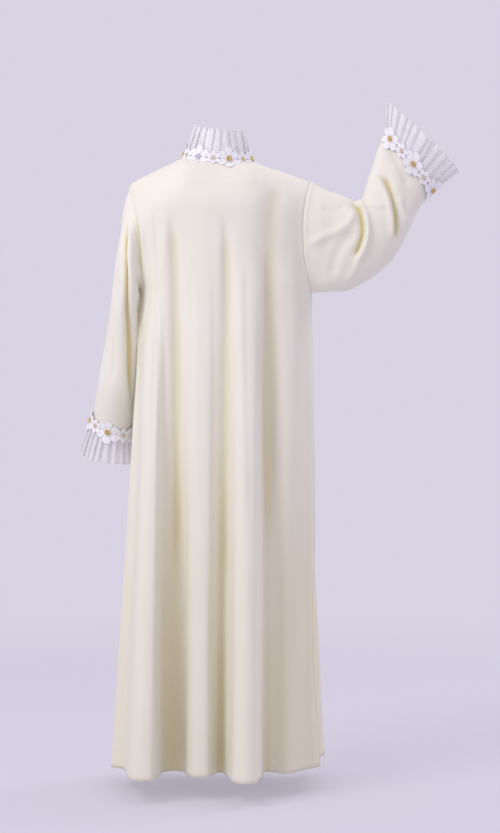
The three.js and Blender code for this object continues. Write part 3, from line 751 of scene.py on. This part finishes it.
facingLook = {"rows": 21, "under": 1.7, "thick": 0.7, "flat": (0.26, 0.09), "area": 0.015}
facingEnds = panelLook["facing"]["ends"]
inside = (allColumns[1] > facingEnds) & (allColumns[1] < 1 - facingEnds)
facingPoints = (backPoints - backNormals * facingLook["under"])[inside][:, :facingLook["rows"]]
neckFacing = clothPiece("neckFacing", facingPoints, -1, crepe, facingLook["thick"])
finishPiece(neckFacing, "crepe", "neck_facing")

hemStitches = pathObject("hemStitches", *hemLines.values())
finishPiece(growWith(hemStitches, stitches, **panelLook["hem"]["stitch"]), "crepe")
print("hem sewn")

# Oval sections of the sleeves: place, top x, top z, under x, under z, middle y, half depth, drop.
sleeveLook = {
    "columns": 200, "rows": 150, "start": 0.0014, "thick": 0.9, "flat": (0.60, 0.61), "area": 0.19,
    "tuck": 0.012, "under": 1.9, "seamFlat": 14, "seam": (6, 2.0, 3.8),
    # painted shade comes in over these crease depths
    "foldDeep": (3, 10), "faceFrom": 0.45,
    "uneven": {"seeds": {"left": 21, "right": 22}, "size": 120, "high": 1.2, "from": 0.1},
    "pit": {  # the groove under the left arm, behind, and the painted shade in it
        "from": (120, 190), "to": (240, 268), "tint": (3, 0.95, 5), "groove": (7, -6, 6),
    },
    "left": [
        (0.00, 203, -54, 170, -300, 0, 52, 0), (0.12, 219, -118, 180, -303, 0, 62, 0),
        (0.24, 229, -185, 180, -311, 2, 72, 0), (0.36, 241, -255, 177, -326, -8, 80, 0),
        (0.50, 252, -335, 180, -352, -24, 82, 1), (0.65, 266, -425, 182, -440, -47, 77, 5),
        (0.80, 282, -510, 190, -528, -60, 71, 12), (0.93, 296, -576, 200, -600, -87, 61, 17),
        (1.00, 302, -601, 204, -633, -98, 60, 18),
    ],
    "right": [
        (0.00, -215, -50, -216, -307, 0, 52, 0), (0.12, -261, -71, -268, -306, 0, 50, 0),
        (0.25, -308, -89, -308, -301, -2, 48, 0), (0.36, -327, -93, -366, -268, -4, 50, 0),
        (0.47, -337, -84, -410, -226, -6, 50, 0), (0.60, -349, -46, -445, -163, -10, 46, 0),
        (0.73, -362, -10, -468, -116, -14, 44, 0), (0.87, -374, 30, -488, -90, -18, 40, 0),
        (1.00, -394, 61, -501, -70, -22, 36, 0),
    ],
    "creases": {
        ("left", 1): [
            (11, 9, -0.3, [
                (212, -130), (211, -184), (208, -260), (204, -340), (200, -420), (200, -510), (203, -600),
            ]),
            (3, 9, 0.4, [(236, -250), (238, -340), (240, -430), (246, -530)]),
            (2, 12, 0.3, [(222, -90), (226, -150), (230, -220)]),
        ],
        ("left", -1): [
            (8, 10, 0.4, [(208, -160), (206, -260), (206, -360), (210, -480), (222, -580)]),
            (3, 9, -0.4, [(232, -230), (236, -340), (244, -450), (254, -560)]),
            (3, 7, 0.4, [(196, -330), (214, -356), (240, -350)]),
        ],
        ("right", 1): [
            (11, 8, -0.7, [
                (-313, -90), (-328, -114), (-335, -147), (-336, -177), (-326, -210), (-310, -240),
            ]),
            (-3.5, 8, 0, [
                (-342, -107), (-349, -144), (-347, -186), (-333, -224), (-310, -268), (-290, -292),
            ]),
            (-6, 10, 0, [(-200, -205), (-242, -184), (-282, -165), (-308, -142), (-318, -108)]),
            (5, 12, 0, [(-324, -166), (-290, -196), (-272, -236), (-262, -284)]),
            (10, 9, 0.6, [
                (-366, -18), (-387, -51), (-399, -77), (-406, -102), (-412, -133), (-414, -168), (-411, -206),
            ]),
            (-3, 6, 0, [(-420, -84), (-429, -119), (-442, -150)]),
            (-3.5, 7, 0, [(-316, -91), (-352, -105), (-392, -110)]),
            (3, 10, 0, [(-236, -112), (-270, -118), (-300, -112)]),
            (3.5, 10, 0, [(-398, 26), (-424, -20), (-444, -70)]),
        ],
        ("right", -1): [
            (8, 9, 0.5, [(-318, -92), (-336, -140), (-334, -196), (-318, -250)]),
            (6, 10, -0.5, [(-366, -50), (-392, -96), (-404, -150), (-402, -210)]),
            (4, 12, 0.4, [(-236, -230), (-284, -206), (-326, -176)]),
            (3, 10, 0.4, [(-236, -110), (-280, -118), (-316, -112)]),
            (3, 10, -0.4, [(-396, 20), (-424, -24), (-444, -76)]),
        ],
    },
}
outward = {"left": -1, "right": 1}


def sectionPoint(rows, turn, at):
    turn, at = np.broadcast_arrays(np.asarray(turn, float), np.asarray(at, float))
    topX, topZ, underX, underZ, y, deep, drop = (fromTable(rows, column, at) for column in range(1, 8))
    c, s = np.cos(np.pi * turn), np.sin(np.pi * turn)
    return stack(
        (topX + underX) / 2 + c * (topX - underX) / 2, y + s * deep,
        (topZ + underZ) / 2 + c * (topZ - underZ) / 2 - s * drop,
    )


def armholePoint(side, turn):
    wrapped = np.mod(turn, 2)
    across = 0.0 if side == "left" else 1.0
    behind = bodyPoint(1, across, np.clip(wrapped, 0, 1))
    before = bodyPoint(-1, across, np.clip(2 - wrapped, 0, 1))
    return np.where((wrapped <= 1)[..., None], behind, before)


def sleevePoint(side, turn, at):
    rows = sleeveLook[side]
    turn, at = np.broadcast_arrays(np.asarray(turn, float), np.asarray(at, float))
    start = armholePoint(side, turn) - sectionPoint(rows, turn, 0.0)
    return sectionPoint(rows, turn, at) + start * fade(at, 0, rows[2][0])[..., None]


def tuckedEdge(side, turns):
    # the sleeve's seam allowance, a ring just inside the armhole and under the body's cloth
    tuck = sleeveLook["tuck"]
    across = tuck if side == "left" else 1 - tuck
    ring = []
    for turn in turns:
        face, fall = (1, turn) if turn <= 1 else (-1, 2 - turn)
        ring.append(bodyPoint(face, across, fall) - bodyOut(face, across, fall) * sleeveLook["under"])
    return np.array(ring)


def makeSleeve(side):
    look = sleeveLook
    turns = np.linspace(0, 2, look["columns"], endpoint=False)
    turn, at = np.meshgrid(turns, np.linspace(look["start"], 1, look["rows"]), indexing="ij")
    base = sleevePoint(side, turn, at)
    normals = gridNormals(base, outward[side], roundU=True)
    uneven = look["uneven"]
    rise = unevenness(base, uneven["seeds"][side], uneven["size"], uneven["high"])
    rise *= smoothstep(at, 0, uneven["from"])
    for face in (1, -1):
        facing = smoothstep(normals[..., 1] * face, 0.0, look["faceFrom"])
        rise += creaseHeights(base, look["creases"][side, face]) * facing
    fromArmhole = gridLengths(base, 1)
    # painted shade in the creases and in the groove under the left arm
    paintedShade = smoothstep(-rise, *look["foldDeep"])
    if side == "left":
        down, pit = -base[..., 2], look["pit"]
        behind = smoothstep(down, *pit["from"]) * fade(down, *pit["to"]) * (normals[..., 1] > 0)
        paintedShade = np.maximum(paintedShade, behind * bump(fromArmhole, *pit["tint"]))
        rise += behind * bump(fromArmhole, *pit["groove"])
    rise *= smoothstep(fromArmhole, 0, look["seamFlat"])
    rise += bump(fromArmhole, *look["seam"])
    points = np.concatenate([tuckedEdge(side, turns)[:, None], base + normals * rise[..., None]], axis=1)
    paintedShade = np.concatenate([paintedShade[:, :1], paintedShade], axis=1)
    piece = clothPiece(side + "Sleeve", points, outward[side], crepe, look["thick"], roundU=True, paintedShade=paintedShade)
    finishPiece(piece, "crepe", "sleeve_" + side)


for side in ("left", "right"):
    makeSleeve(side)
print("sleeves set in")

frillLook = {
    "columnsPerPleat": 22, "rows": 24, "evenSteps": 400, "thick": 0.3, "rolled": 0.0008,
    "jitter": 0.42, "lap": 0.46, "laps": (0.35, 1.15), "heights": (0.45, 1.1), "slant": 0.006,
    "slantFrom": 0.4, "swell": 0.8, "sway": 0.5, "sways": 5,
    "seeds": {"collar": 31, "left": 33, "right": 36},
    "left": [(0, 302, -601, 204, -633, -98, 60, 18), (1, 331, -682, 196, -704, -126, 82, 12)],
    "right": [(0, -394, 61, -501, -70, -22, 36, 0), (1, -397, 135, -561, -21, -26, 56, 0)],
    "cuff": {"pleats": 24, "start": 0.9, "end": 5.0, "flat": (0.95, 0.09), "area": 0.064},
    "collar": {
        "pleats": 22, "start": 0.9, "end": 3.4, "flat": (0.74, 0.085), "area": 0.06,
        "halfWide": 57, "x": -4, "y": -6, "back": 50, "front": 52, "high": 78,
        "seat": 2.2, "seatFrom": (0.7, 0.95), "gap": 0.3, "opening": math.radians(5),
    },
}


def pleated(name, flat, sign, look, seed, roundU, node):
    # uneven pleats: flat stretches joined by bands where the cloth laps back over itself
    count = 2 * look["pleats"]
    random = np.random.default_rng(seed)
    knots = np.arange(count + 1)
    spots = (knots + random.uniform(-1, 1, count + 1) * frillLook["jitter"]) / count
    heights = random.uniform(*frillLook["heights"], count + 1)
    laps = random.uniform(*frillLook["laps"], count + 1) * frillLook["lap"]
    slants = random.normal(size=count + 1) * frillLook["slant"]
    spots[0], spots[-1] = 0, 1
    heights[-1], laps[-1], slants[-1] = heights[0], laps[0], slants[0] if roundU else 0
    steps = look["pleats"] * frillLook["columnsPerPleat"]
    phases = np.linspace(0, count, steps + 1)[:steps if roundU else None]
    phase, up = np.meshgrid(phases, np.linspace(0, 1, frillLook["rows"]), indexing="ij")
    k = np.minimum(phase.astype(int), count - 1)
    gap = spots[k + 1] - spots[k]
    spot, high, lap, slant = (np.interp(phase, knots, each) for each in (spots, heights, laps, slants))
    share = spot + slant * (up - frillLook["slantFrom"]) + lap * np.sin(2 * np.pi * phase) * gap
    base = flat(share, up)
    normals = gridNormals(flat(np.interp(phase, [0, count], [0, 1]), up), sign, roundU)
    size = mix(look["start"], look["end"], up ** frillLook["swell"]) * high
    points = base + normals * (size * np.cos(np.pi * phase))[..., None]
    sway = frillLook["sway"] * up * np.sin(share * 2 * np.pi * frillLook["sways"] + seed)
    points += normals * sway[..., None]
    piece = finishPiece(clothPiece(name, points, sign, organza, frillLook["thick"], roundU), "organza", node)
    edge = np.concatenate([points[:, -1], points[:1, -1]]) if roundU else points[:, -1]
    roll = growWith(pathObject(name + "Edge", edge), rolledEdge, Radius=frillLook["rolled"])
    finishPiece(roll, "organza")


def evenly(curve, start, end):
    # from a share of a curve's length to its parameter
    places = evenPlaces(curve, start, end, frillLook["evenSteps"])
    return lambda share: np.interp(share, np.linspace(0, 1, frillLook["evenSteps"]), places)


def collarPoint(angle, up):
    shape = frillLook["collar"]
    s = np.sin(angle)
    base = neckline(angle)
    top = stack(
        shape["x"] + shape["halfWide"] * np.cos(angle),
        shape["y"] + np.where(s > 0, shape["back"], shape["front"]) * s,
        base[..., 2] + shape["high"],
    )
    base[..., 2] += shape["gap"] + shape["seat"] * smoothstep(-s, *shape["seatFrom"])
    return mix(base, top, np.asarray(up, float)[..., None])


def makeCollar():
    shape = frillLook["collar"]
    start, end = -np.pi / 2 + shape["opening"], 3 * np.pi / 2 - shape["opening"]
    angleAt = evenly(lambda a: collarPoint(a, np.zeros_like(a)), start, end)

    def flat(share, up):
        return collarPoint(angleAt(share), up)

    pleated("collarFrill", flat, 1, shape, frillLook["seeds"]["collar"], False, "collar")


def makeCuff(side):
    rows = frillLook[side]
    turnAt = evenly(lambda t: sectionPoint(rows, t, 0.5), 0, 2)

    def flat(share, up):
        rounds = np.floor(share)
        return sectionPoint(rows, turnAt(share - rounds) + 2 * rounds, up)

    seed = frillLook["seeds"][side]
    pleated(side + "CuffFrill", flat, outward[side], frillLook["cuff"], seed, True, "cuff_" + side)


makeCollar()
for side in ("left", "right"):
    makeCuff(side)
print("frills pleated")

trimLook = {
    "bend": 6, "petals": 6, "acrossSteps": 9, "alongSteps": 12, "thick": 0.8,
    "petal": {
        "crowd": 0.85, "inner": 0.16, "waist": 0.12, "wide": 0.345, "widenTo": 0.62, "wideAt": 0.6,
        "blunt": 0.0004, "startHigh": 0.55, "tipHigh": 0.45, "bowl": 0.5, "bowlTo": 0.95,
        "rim": 0.45, "rimAt": (0.6, 0.9), "tipRimAt": (0.8, 0.95), "rimFrom": (0.1, 0.3),
        "vein": -0.25, "veinWide": 0.16, "veinFrom": 0.2, "veinTo": (0.5, 0.9),
        "tilt": 0.25, "apart": 0.1,
    },
    "disc": {
        "reach": 0.3, "sides": 18, "rings": ((0.02, 0.5), (0.5, 0.45), (0.85, 0.25), (1.0, -0.5)),
        "uv": ((0, 0), (0.001, 0), (0.001, 0.002), (0, 0.002)),
    },
    "large": {
        "radius": 28, "over": 0.0, "high": 1.5, "cluster": 8.2, "bead": 1.7, "dome": 3.4,
        "domeReach": 1.12, "sunk": 0.3, "rings": ((0, 1, 0.0), (0.37, 6, 0.3), (0.74, 12, 0.0)),
    },
    "small": {
        "radius": 17.5, "over": 0.7, "high": 1.1, "ring": 4.5, "bead": 1.4, "count": 7,
        "beadUp": 1.1, "middleBead": 1.1,
    },
    "between": ((7.5, 2.2, 1.3), (-7.5, 2.2, 1.1)),
    "fall": [
        (-1.0, 0.80), (-0.87, 0.38), (-0.65, -0.02), (-0.26, 0.10), (0.0, 0.24), (0.5, 0.27),
        (0.87, 0.50), (1.0, 0.84),
    ],
    "collar": {
        "below": 1.3, "above": 0.8, "over": 10, "rise": 0.05, "from": 19, "to": 35, "raise": 9,
        "steps": 12, "clearOne": 5,
    },
    "cuff": {"flat": 0.7, "bend": 2.2, "rise": 0.07, "start": {"left": 14, "right": 28}, "steps": 10},
}


def overJoin(join, up, down, t):
    reach = np.hypot(t, trimLook["bend"])
    return join + up * ((reach + t) / 2)[..., None] + down * ((reach - t) / 2)[..., None]


def collarTrimPoint(angle, t):
    angle, t = np.broadcast_arrays(angle, t)
    s = np.sin(angle)
    steep = fromTable(trimLook["fall"], 1, s)
    down = stack(np.cos(steep) * np.cos(angle), np.cos(steep) * s, -np.sin(steep))
    up = unit(collarPoint(angle, np.ones_like(angle)) - collarPoint(angle, np.zeros_like(angle)))
    return overJoin(neckline(angle), up, down, t)


def cuffTrimPoint(side, turn, t):
    turn, t = np.broadcast_arrays(turn, t)
    up = unit(sectionPoint(frillLook[side], turn, smallStep) - sectionPoint(frillLook[side], turn, 0.0))
    down = unit(sleevePoint(side, turn, 1.0 - smallStep) - sleevePoint(side, turn, 1.0))
    return overJoin(sleevePoint(side, turn, 1.0), up, down, t)


def trimSurface(point, start, end, lift, steps=2401):
    # turns a surface by parameter into one by millimetres along it, across it and out of it
    dense = np.linspace(start, end, steps)
    lengths = gridLengths(point(dense, np.zeros_like(dense)))
    length = lengths[-1]

    def surface(a, b, height):
        rounds = np.floor(a / length)
        u = np.interp(a - rounds * length, lengths, dense) + rounds * (end - start)
        du = unit(point(u + smallStep, b) - point(u - smallStep, b))
        dv = unit(point(u, b + smallStep) - point(u, b - smallStep))
        return point(u, b) + unit(np.cross(du, dv)) * (lift(u, b) + height)[..., None]

    return length, surface


def petalShape(look):
    # a petal's places along it and across it, and its height over the cloth, in millimetres
    petal = trimLook["petal"]
    s, t = np.meshgrid(
        np.linspace(0, 1, trimLook["alongSteps"]) ** petal["crowd"],
        np.linspace(-1, 1, trimLook["acrossSteps"]), indexing="ij",
    )
    widening = mix(petal["waist"], petal["wide"], smoothstep(s, 0, petal["widenTo"]))
    toTip = (s - petal["wideAt"]) / (1 - petal["wideAt"])
    closing = petal["wide"] * np.sqrt(np.clip(1 - toTip ** 2, petal["blunt"], 1))
    bowl = petal["bowl"] * (1 - t ** 2) * np.sin(np.pi * np.clip(s * petal["bowlTo"], 0, 1))
    edge = np.maximum(smoothstep(np.abs(t), *petal["rimAt"]), smoothstep(s, *petal["tipRimAt"]))
    rim = petal["rim"] * edge * smoothstep(s, *petal["rimFrom"])
    vein = bump(t, 0, petal["vein"], petal["veinWide"]) * smoothstep(s, 0, petal["veinFrom"])
    vein *= fade(s, *petal["veinTo"])
    high = look["over"] + look["high"] * (petal["startHigh"] + petal["tipHigh"] * s) + bowl + rim + vein
    x = look["radius"] * (petal["inner"] + (1 - petal["inner"]) * s)
    return x, look["radius"] * np.where(s < petal["wideAt"], widening, closing) * t, high


def beadRing(spots, along, radius, count, turn, high, bead):
    for k in range(count):
        angle = turn + 2 * math.pi * k / count
        spots.append((along + radius * math.cos(angle), radius * math.sin(angle), high, bead))


def daisyParts(surface, along, kind, clear, parts):
    look, petal = trimLook[kind], trimLook["petal"]
    x, y, high = petalShape(look)
    for k in range(trimLook["petals"]):
        angle = (k + 0.5) * 2 * math.pi / trimLook["petals"]
        c, s = math.cos(angle), math.sin(angle)
        placed = surface(along + x * c - y * s, x * s + y * c, high + petal["tilt"] * (k % 2))
        parts["petals"].append((placed, np.stack([y * mm + petal["apart"] * k, x * mm], -1)))
    top, bead = look["over"] + look["high"], look["bead"]
    parts["discs"].append((along, look["radius"] * trimLook["disc"]["reach"], top))
    if kind == "large":
        for share, count, turn in look["rings"]:
            radius = look["cluster"] * share
            level = math.sqrt(max(1 - (radius / look["cluster"] / look["domeReach"]) ** 2, 0))
            spots = parts["clear" if clear else "gold"]
            beadRing(spots, along, radius, count, turn, top + look["dome"] * level - look["sunk"], bead)
    else:
        beadRing(parts["gold"], along, look["ring"], look["count"], 0, top + look["beadUp"], bead)
        beadRing(parts["clear"], along, 0, 1, 0, top + look["beadUp"], bead * look["middleBead"])


def beadsAt(name, spots, surface, tree, slot):
    spots = np.array(spots, float)
    obj = newMesh(name, surface(spots[:, 0], spots[:, 1], spots[:, 2]), [])
    size = obj.data.attributes.new("size", "FLOAT", "POINT")
    size.data.foreach_set("value", spots[:, 3].astype(np.float32))
    return finishPiece(growWith(obj, tree, **{"Bead radius": 0.001}), slot)


def daisyChain(name, surface, places, smallFirst, clearOne, node):
    parts = {"petals": [], "discs": [], "gold": [], "clear": []}
    for i, place in enumerate(places):
        kind = "small" if (i % 2 == 0) == smallFirst else "large"
        daisyParts(surface, place, kind, i == clearOne, parts)
    for a, b in zip(places[:-1], places[1:]):
        parts["clear"].extend((a + (b - a) * 0.5, *spot) for spot in trimLook["between"])
    points, faces, uvs = [], [], []

    def addGrid(grid, quads, uv):
        faces.append(quads + sum(len(part) for part in points))
        points.append(grid.reshape(-1, 3))
        uvs.append(uv)

    for grid, uv in parts["petals"]:
        quads = gridFaces(*grid.shape[:2], False)
        addGrid(grid, quads, uv.reshape(-1, 2)[quads].reshape(-1, 2))
    disc = trimLook["disc"]
    shares, heights = np.array(disc["rings"]).T
    quads = gridFaces(disc["sides"], len(shares), True)[:, ::-1]
    turns = np.linspace(0, 2 * np.pi, disc["sides"], endpoint=False)
    for along, radius, high in parts["discs"]:
        turn, reach = np.meshgrid(turns, shares * radius, indexing="ij")
        grid = surface(along + reach * np.cos(turn), reach * np.sin(turn), high + heights)
        addGrid(grid, quads, np.tile(disc["uv"], (len(quads), 1)))
    obj = newMesh(name, np.concatenate(points), np.concatenate(faces).tolist())
    layer = obj.data.uv_layers.new(name="petal")
    layer.data.foreach_set("uv", np.concatenate(uvs).astype(np.float32).ravel())
    obj.data.shade_smooth()
    obj.data.materials.append(lace)
    thicken(obj, trimLook["thick"])
    finishPiece(obj, "lace", node)
    beadsAt(name + "Gold", parts["gold"], surface, goldBeads, "gold_bead")
    beadsAt(name + "Clear", parts["clear"], surface, clearBeads, "clear_bead")


def makeCollarTrim():
    look, opening = trimLook["collar"], frillLook["collar"]["opening"]

    def lift(u, t):
        near = mix(look["below"], look["above"], smoothstep(t, 0, look["over"]))
        return near + look["rise"] * np.maximum(t, 0)

    start, end = -np.pi / 2 + opening, 3 * np.pi / 2 - opening
    length, surface = trimSurface(collarTrimPoint, start, end, lift)

    def raised(a, b, height):
        return surface(a, b + look["raise"], height)

    places = np.linspace(look["from"], length - look["to"], look["steps"] + 1)
    daisyChain("collarDaisies", raised, places, True, look["clearOne"], "collar_trim")


def makeCuffTrim(side):
    look, mirror = trimLook["cuff"], outward[side]

    def lift(u, t):
        return mix(look["flat"], look["bend"], np.cos(np.pi * u) ** 2) + look["rise"] * np.abs(t)

    length, surface = trimSurface(lambda u, t: cuffTrimPoint(side, u * mirror, t), 0, 2, lift)
    places = np.linspace(0, length, look["steps"] + 1)[:-1] + mirror * look["start"][side]
    daisyChain(side + "CuffDaisies", surface, places, False, None, "cuff_trim_" + side)


makeCollarTrim()
for side in ("left", "right"):
    makeCuffTrim(side)
print("daisies sewn on")

# The floor, the light and the camera.
studio = {
    "floor": {
        "z": -1.465, "radius": 7.0, "sides": 64, "most": 0.5, "solidTo": 1.0, "fadeTo": 4.2,
        "shader": {"Base Color": (0.70, 0.675, 0.76, 1), "Roughness": 0.9, "Specular IOR Level": 0.1},
    },
    "backdrop": (0.686, 0.655, 0.768), "strength": 1.0,
    "camera": (-0.0746, 4.583, -0.5965), "lens": 85, "sensor": 36,
    "lights": [  # place, aimed at, size, power, colour
        ((2.3, 2.2, 2.0), (0.0, 0.0, -0.4), 1.7, 60, (1.0, 0.975, 0.93)),
        ((-2.6, -1.6, 2.2), (-0.1, 0.0, -0.4), 1.8, 30, (1.0, 0.98, 0.96)),
    ],
}


def makeFloor():
    look = studio["floor"]
    ring = np.linspace(0, 2 * np.pi, look["sides"], endpoint=False)
    points = stack(np.cos(ring) * look["radius"], np.sin(ring) * look["radius"], look["z"]) / mm
    floor = newMesh("floor", points, [list(range(look["sides"]))])
    material, tree, shader = nodeMaterial("paleFloor")
    flat = scaled(tree, objectPlace(tree), (1, 1, 0))
    away = addNode(tree, "ShaderNodeVectorMath", {0: flat}, operation="LENGTH").outputs["Value"]
    shown = addNode(tree, "ShaderNodeMapRange", {
        "Value": away, "From Min": look["solidTo"], "From Max": look["fadeTo"],
        "To Min": look["most"], "To Max": 0.0,
    }, interpolation_type="SMOOTHSTEP").outputs["Result"]
    feed(tree, shader, {"Alpha": shown, **look["shader"]})
    floor.data.materials.append(material)


def makeLights():
    for k, (place, aim, size, power, colour) in enumerate(studio["lights"]):
        data = bpy.data.lights.new(f"softLight{k + 1}", "AREA")
        data.shape, data.size, data.energy, data.color = "DISK", size, power, colour
        lamp = addObject(f"softLight{k + 1}", data)
        lamp.location = place
        lamp.rotation_euler = (Vector(aim) - Vector(place)).to_track_quat("-Z", "Y").to_euler()
    world = bpy.data.worlds.new("studioWall")
    world.use_nodes = True
    wall = world.node_tree.nodes["Background"]
    wall.inputs["Color"].default_value = (*studio["backdrop"], 1)
    wall.inputs["Strength"].default_value = studio["strength"]
    bpy.context.scene.world = world


def makeCamera():
    data = bpy.data.cameras.new("camera")
    data.lens, data.sensor_width = studio["lens"], studio["sensor"]
    camera = addObject("camera", data)
    camera.location = studio["camera"]
    camera.rotation_euler = (math.pi / 2, 0, math.pi)
    bpy.context.scene.camera = camera
    bpy.context.scene.view_settings.view_transform = "Standard"


makeFloor()
makeLights()
makeCamera()
print("studio ready")
